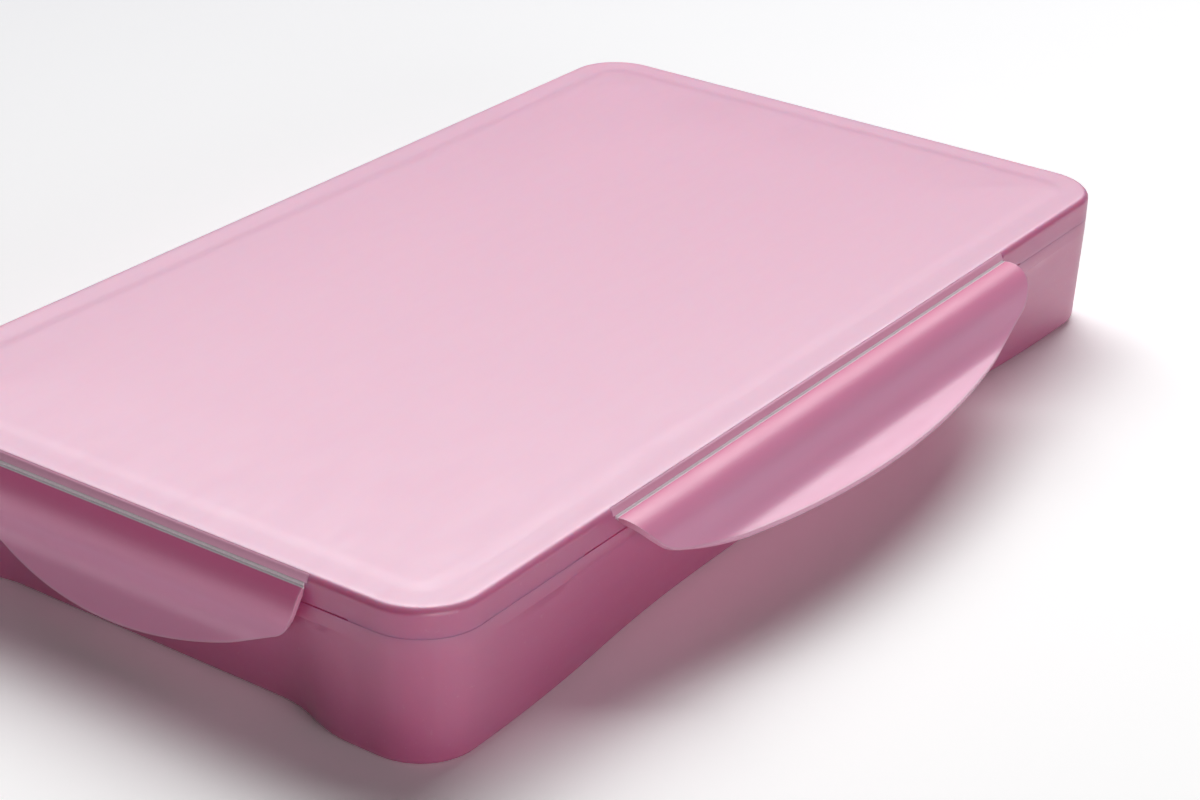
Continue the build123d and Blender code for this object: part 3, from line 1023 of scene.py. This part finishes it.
fillLook = {
    "headspace": 3.5,
    "clearance": 0.06,
    "rimCling": 0.35,  # paint climbs the wall a little
    "clingHeight": 1.75,
    "clingShare": 3.0,  # it has sunk from the wall within a third of the way
    "dip": 0.7,
    "floorInset": 8.0,
    "footRound": 1.2,
    "midHeight": 0.5,  # share of the paint's top
    "edgeInset": 0.3,
    "reach": 19.0,
    "ringPower": 1.2,  # the rings stand closer by the wall
    "stillEdge": 1.35,  # nothing lower than this under the top is stirred
    "stirDepth": 1.3,
    "stirScale": 62.0,
    "rings": 11,
}


def makeFill(name, place, seed, finish, look=fillLook):
    gap, foot = cupLook["wall"] + look["clearance"], look["footRound"]
    low, top = gap, cupLook["height"] - look["headspace"]
    rings = [cupRing(low, gap + look["floorInset"]), cupRing(low, gap + foot), cupRing(low + foot, gap)]
    rings += [cupRing(z, gap) for z in (top * look["midHeight"], top - look["clingHeight"], top)]
    for i in range(1, look["rings"]):
        share = i / look["rings"]
        cling = look["rimCling"] * (1 - (1 - min(share * look["clingShare"], 1.0)) ** 2)
        inset = gap + look["edgeInset"] + look["reach"] * share ** look["ringPower"]
        rings.append(cupRing(top - cling - look["dip"], inset))
    raised = [[(x + place[0], y + place[1], z + baseLook["floor"]) for x, y, z in ring] for ring in rings]
    fill = shellFromRings(name, raised)
    applyTree(
        fill,
        stirTree,
        level=(baseLook["floor"] + top - look["stillEdge"]) * mm,
        depth=look["stirDepth"] * mm,
        scale=look["stirScale"],
        seed=seed,
        finish=finish,
    )
    return smoothShade(bakeModifiers(fill), angle=60)


for number, (colourName, rgb) in enumerate(paintColours.items()):
    row, column = divmod(number, cupField["columns"])
    across, along = column - (cupField["columns"] - 1) / 2, (cupField["rows"] - 1) / 2 - row
    centre = (across * cupField["pitchX"], along * cupField["pitchY"])
    paint = gouachePaint(f"gouache{colourName[0].upper()}{colourName[1:]}", rgb)
    node = f"gouache_{number + 1:02d}"
    fill = makeFill(f"{colourName}Fill", centre, float(number), paint)
    dress(fill, paint, "base", [node])
print("gouache poured")

sealLook = {
    "margin": 0.5,
    "thickness": 0.15,
    "slackFrom": 0.4,
    "slackReach": 18.0,
    "sag": 0.5,
    "sagShare": 1.6,
    "rings": 7,
}


# the seal over a cup: stuck flat on the flange, slack over the paint
def makeSeals(look=sealLook):
    top, thick, flange = cupLook["height"], look["thickness"], cupLook["flange"]
    outer = look["margin"] - flange
    steps = [(outer, 0.0), (look["slackFrom"], 0.0)]
    for i in range(1, look["rings"]):
        share = i / look["rings"]
        sag = look["sag"] * math.sin(math.radians(90) * min(share * look["sagShare"], 1.0))
        steps.append((look["slackFrom"] + look["slackReach"] * share, sag))
    under = [cupRing(top - drop, inset) for inset, drop in reversed(steps)]
    over = [cupRing(top + thick - drop, inset) for inset, drop in steps]
    seal = shellFromRings("peelFilms", under + over)
    applyTree(seal, gridTree, finish=filmClear, **gridSizes)
    return smoothShade(bakeModifiers(seal), angle=40)


filmClear = clearFilm("filmClear")
peelFilms = makeSeals()
dress(peelFilms, filmClear, "base", ["peel_films"])
print("seals made")

paletteLook = {
    "wall": 1.2,
    "top": 33.35,
    "bottom": 28.55,
    "inset": 3.8,
    "wellDepth": 3.6,
    "wellGap": 6.0,
    "wellLean": 1.5,
    "wellCorner": 7.0,
    "wellFootRound": 1.6,
    "wellFloorInset": 4.8,
    "smallColumns": 4,
    "rows": 2,
    "largeShare": 0.36,
    "gripRadius": 11.0,
    "edgeRound": 0.35,
    "rimReach": 6.0,
    "cutPast": 1.0,  # the blocks that cut reach past the tray
    "cornerSteps": 12,
    "wellSteps": 10,
}


def paletteWells(look=paletteLook):  # centre, length and width of each well, large ones on the right
    inset = look["inset"] + look["wellGap"]
    fieldX, fieldY = caseSizes["length"] - 2 * inset, caseSizes["width"] - 2 * inset
    width = (fieldY - (look["rows"] - 1) * look["wellGap"]) / look["rows"]
    large = fieldX * look["largeShare"]
    small = (fieldX - large) / look["smallColumns"] - look["wellGap"]
    for row in range(look["rows"]):
        y = (row - (look["rows"] - 1) / 2) * (width + look["wellGap"])
        for column in range(look["smallColumns"]):
            yield -fieldX / 2 + small / 2 + column * (small + look["wellGap"]), y, small, width
        yield (fieldX - large) / 2, y, large, width


def wellBlock(x, y, length, width, grown, low, high, look=paletteLook):
    rings = []
    foot = look["wellFootRound"]
    full = look["top"] - look["wellDepth"]
    for inward, up in [(look["wellFloorInset"], 0.0)] + roundSteps(foot, count=5) + [(0.0, high - low)]:
        lean = look["wellLean"] * max(1 - (low + up - full) / look["wellDepth"], 0.0)
        inset = inward + lean - grown
        rings.append(roundedRing(low + up, length, width, look["wellCorner"], inset, look["wellSteps"]))
    return [[(a + x, b + y, z) for a, b, z in ring] for ring in rings]


def joinedBlocks(name, blocks):
    return joinParts(name, [shellFromRings(name, rings) for rings in blocks])


def makePalette(look=paletteLook):
    low, high, inset, wall = look["bottom"], look["top"], look["inset"], look["wall"]
    radius, grip = caseSizes["cornerRadius"] - inset, look["gripRadius"]
    length, width = caseSizes["length"] - 2 * inset, caseSizes["width"] - 2 * inset
    reach, past, steps = look["rimReach"], look["cutPast"], look["cornerSteps"]
    under = high - wall
    section = ((under, wall + reach), (under, wall), (low, wall), (low, 0), (high, 0), (high, reach))
    rings = [roundedRing(z, length, width, radius, inward, steps) for z, inward in section]
    tray = shellFromRings("paletteTray", rings)
    wells = list(paletteWells())
    cups = joinedBlocks("wellCups", [wellBlock(*well, wall, low, high - wall / 2) for well in wells])
    pockets = [wellBlock(*well, 0.0, high - look["wellDepth"], high + past) for well in wells]
    disc = roundedRing(0, 2 * grip, 2 * grip, grip, 0.0, steps)
    for end in (-1, 1):
        middle = end * (length / 2 + grip / 2)
        pockets.append([[(x + middle, y, z) for x, y, _ in disc] for z in (low - past, high + past)])
    cutters = joinedBlocks("wellPockets", pockets)
    addBoolean(tray, cups, "UNION")
    addBoolean(tray, cutters, "DIFFERENCE")
    bakeModifiers(softEdges(tray, look["edgeRound"], angle=50))
    removeAll((cups, cutters))
    return smoothShade(tray, angle=38)


paletteWhite = plainPlastic("paletteWhite")
paletteTray = makePalette()
dress(paletteTray, paletteWhite, "palette", ["mixing_palette"])
print("palette made")

stageLook = {
    "nearColour": (255, 255, 255),  # painted light: the paper is painted paler towards the front and darker towards the back, for how the lights fall across it
    "farColour": (217, 217, 219),
    "paleFrom": 0.38,
    "paleTo": -0.1,
    "paleHeading": 60.0,
    "seenGain": 1.38,  # the camera sees the paper whiter than it lights the box
    "roughness": 0.9,
    "specular": 0.1,
    "reach": 4.0,
    "drop": 0.1,  # millimetres under the table's height
    "airColour": (1.0, 0.97, 0.95),
    "airStrength": 0.02,
}
# two soft lights stand behind the box and a low fill in front: how far round from straight behind it,
# how high, how far off, how large and how strong
lightLook = {
    "tallSoftbox": {"round": 0.0, "height": 51.0, "distance": 2.4, "size": (2.4, 1.55), "power": 57.0},
    "lowSoftbox": {"round": 0.0, "height": 31.0, "distance": 2.4, "size": (2.4, 1.2), "power": 7.0},
    "frontFill": {"round": -152.0, "height": 11.5, "distance": 2.4, "size": (1.8, 0.8), "power": 16.5},
}


def makeStage(look=stageLook):
    reach = look["reach"]
    mesh = bpy.data.meshes.new("studioFloor")
    corners = [(-reach, -reach), (reach, -reach), (reach, reach), (-reach, reach)]  # metres
    mesh.from_pydata([(x, y, -look["drop"] * mm) for x, y in corners], [], [(0, 1, 2, 3)])
    floor = newObject("studioFloor", mesh)
    material, tree, shader, place = nodeMaterial("studioPaper")
    heading = math.radians(look["paleHeading"])
    along = addNode(
        tree,
        "ShaderNodeVectorMath",
        ((0, place), (1, (math.cos(heading), math.sin(heading), 0.0))),
        operation="DOT_PRODUCT",
    )["Value"]
    # painted light: the paper darkens towards the back along a heading
    pale = spread(tree, along, 0.0, 1.0, look["paleFrom"], look["paleTo"])
    colour = blendColours(tree, pale, linear(*look["farColour"]), linear(*look["nearColour"]))
    seen = addNode(tree, "ShaderNodeLightPath")["Is Camera Ray"]
    gain = spread(tree, seen, 1.0, look["seenGain"], 0.0, 1.0)
    paper = addNode(tree, "ShaderNodeVectorMath", ((0, colour), ("Scale", gain)), operation="SCALE")["Vector"]
    tree.links.new(paper, shader.inputs["Base Color"])
    setInputs(shader, {"Roughness": look["roughness"], "Specular IOR Level": look["specular"]})
    mesh.materials.append(material)
    world = bpy.data.worlds.new("studioAir")
    world.use_nodes = True
    background = world.node_tree.nodes["Background"]
    setInputs(background, {"Color": (*look["airColour"], 1), "Strength": look["airStrength"]})
    bpy.context.scene.world = world


cameraPlace = {
    "lens": 84.33,
    "sensor": 36.0,
    "location": (-0.52460, -0.37457, 0.32044),
    "heading": 34.085,
    "downward": 26.151,
    "roll": 2.0015,
    "clip": (0.01, 50.0),
}


def makeLight(name, look):
    lamp = bpy.data.lights.new(name, "AREA")
    lamp.shape = "RECTANGLE"
    lamp.size, lamp.size_y = look["size"]
    lamp.energy = look["power"]
    light = newObject(name, lamp)
    bearing, height = math.radians(cameraPlace["heading"] + look["round"]), math.radians(look["height"])
    level = math.cos(height)
    light.location = Vector((level * math.cos(bearing), level * math.sin(bearing), math.sin(height)))
    light.location *= look["distance"]
    light.rotation_euler = (-light.location).to_track_quat("-Z", "Y").to_euler()


def makeCamera(look=cameraPlace):
    heading, down, roll = (math.radians(look[k]) for k in ("heading", "downward", "roll"))
    level = math.cos(down)
    ahead = Vector((math.cos(heading) * level, math.sin(heading) * level, -math.sin(down)))
    right = Vector((math.sin(heading), -math.cos(heading), 0))
    up = right.cross(ahead)
    tiltedRight = right * math.cos(roll) + up * math.sin(roll)
    tiltedUp = up * math.cos(roll) - right * math.sin(roll)
    aimed = Matrix((tiltedRight, tiltedUp, -ahead)).transposed().to_4x4()
    lens = bpy.data.cameras.new("studioCamera")
    lens.lens = look["lens"]
    lens.sensor_width = look["sensor"]
    lens.sensor_fit = "HORIZONTAL"
    lens.clip_start, lens.clip_end = look["clip"]
    camera = newObject("studioCamera", lens)
    camera.matrix_world = Matrix.Translation(look["location"]) @ aimed
    bpy.context.scene.camera = camera


makeStage()
for name, look in lightLook.items():
    makeLight(name, look)
makeCamera()
bpy.context.scene.view_settings.view_transform = "Standard"
print("stage made")
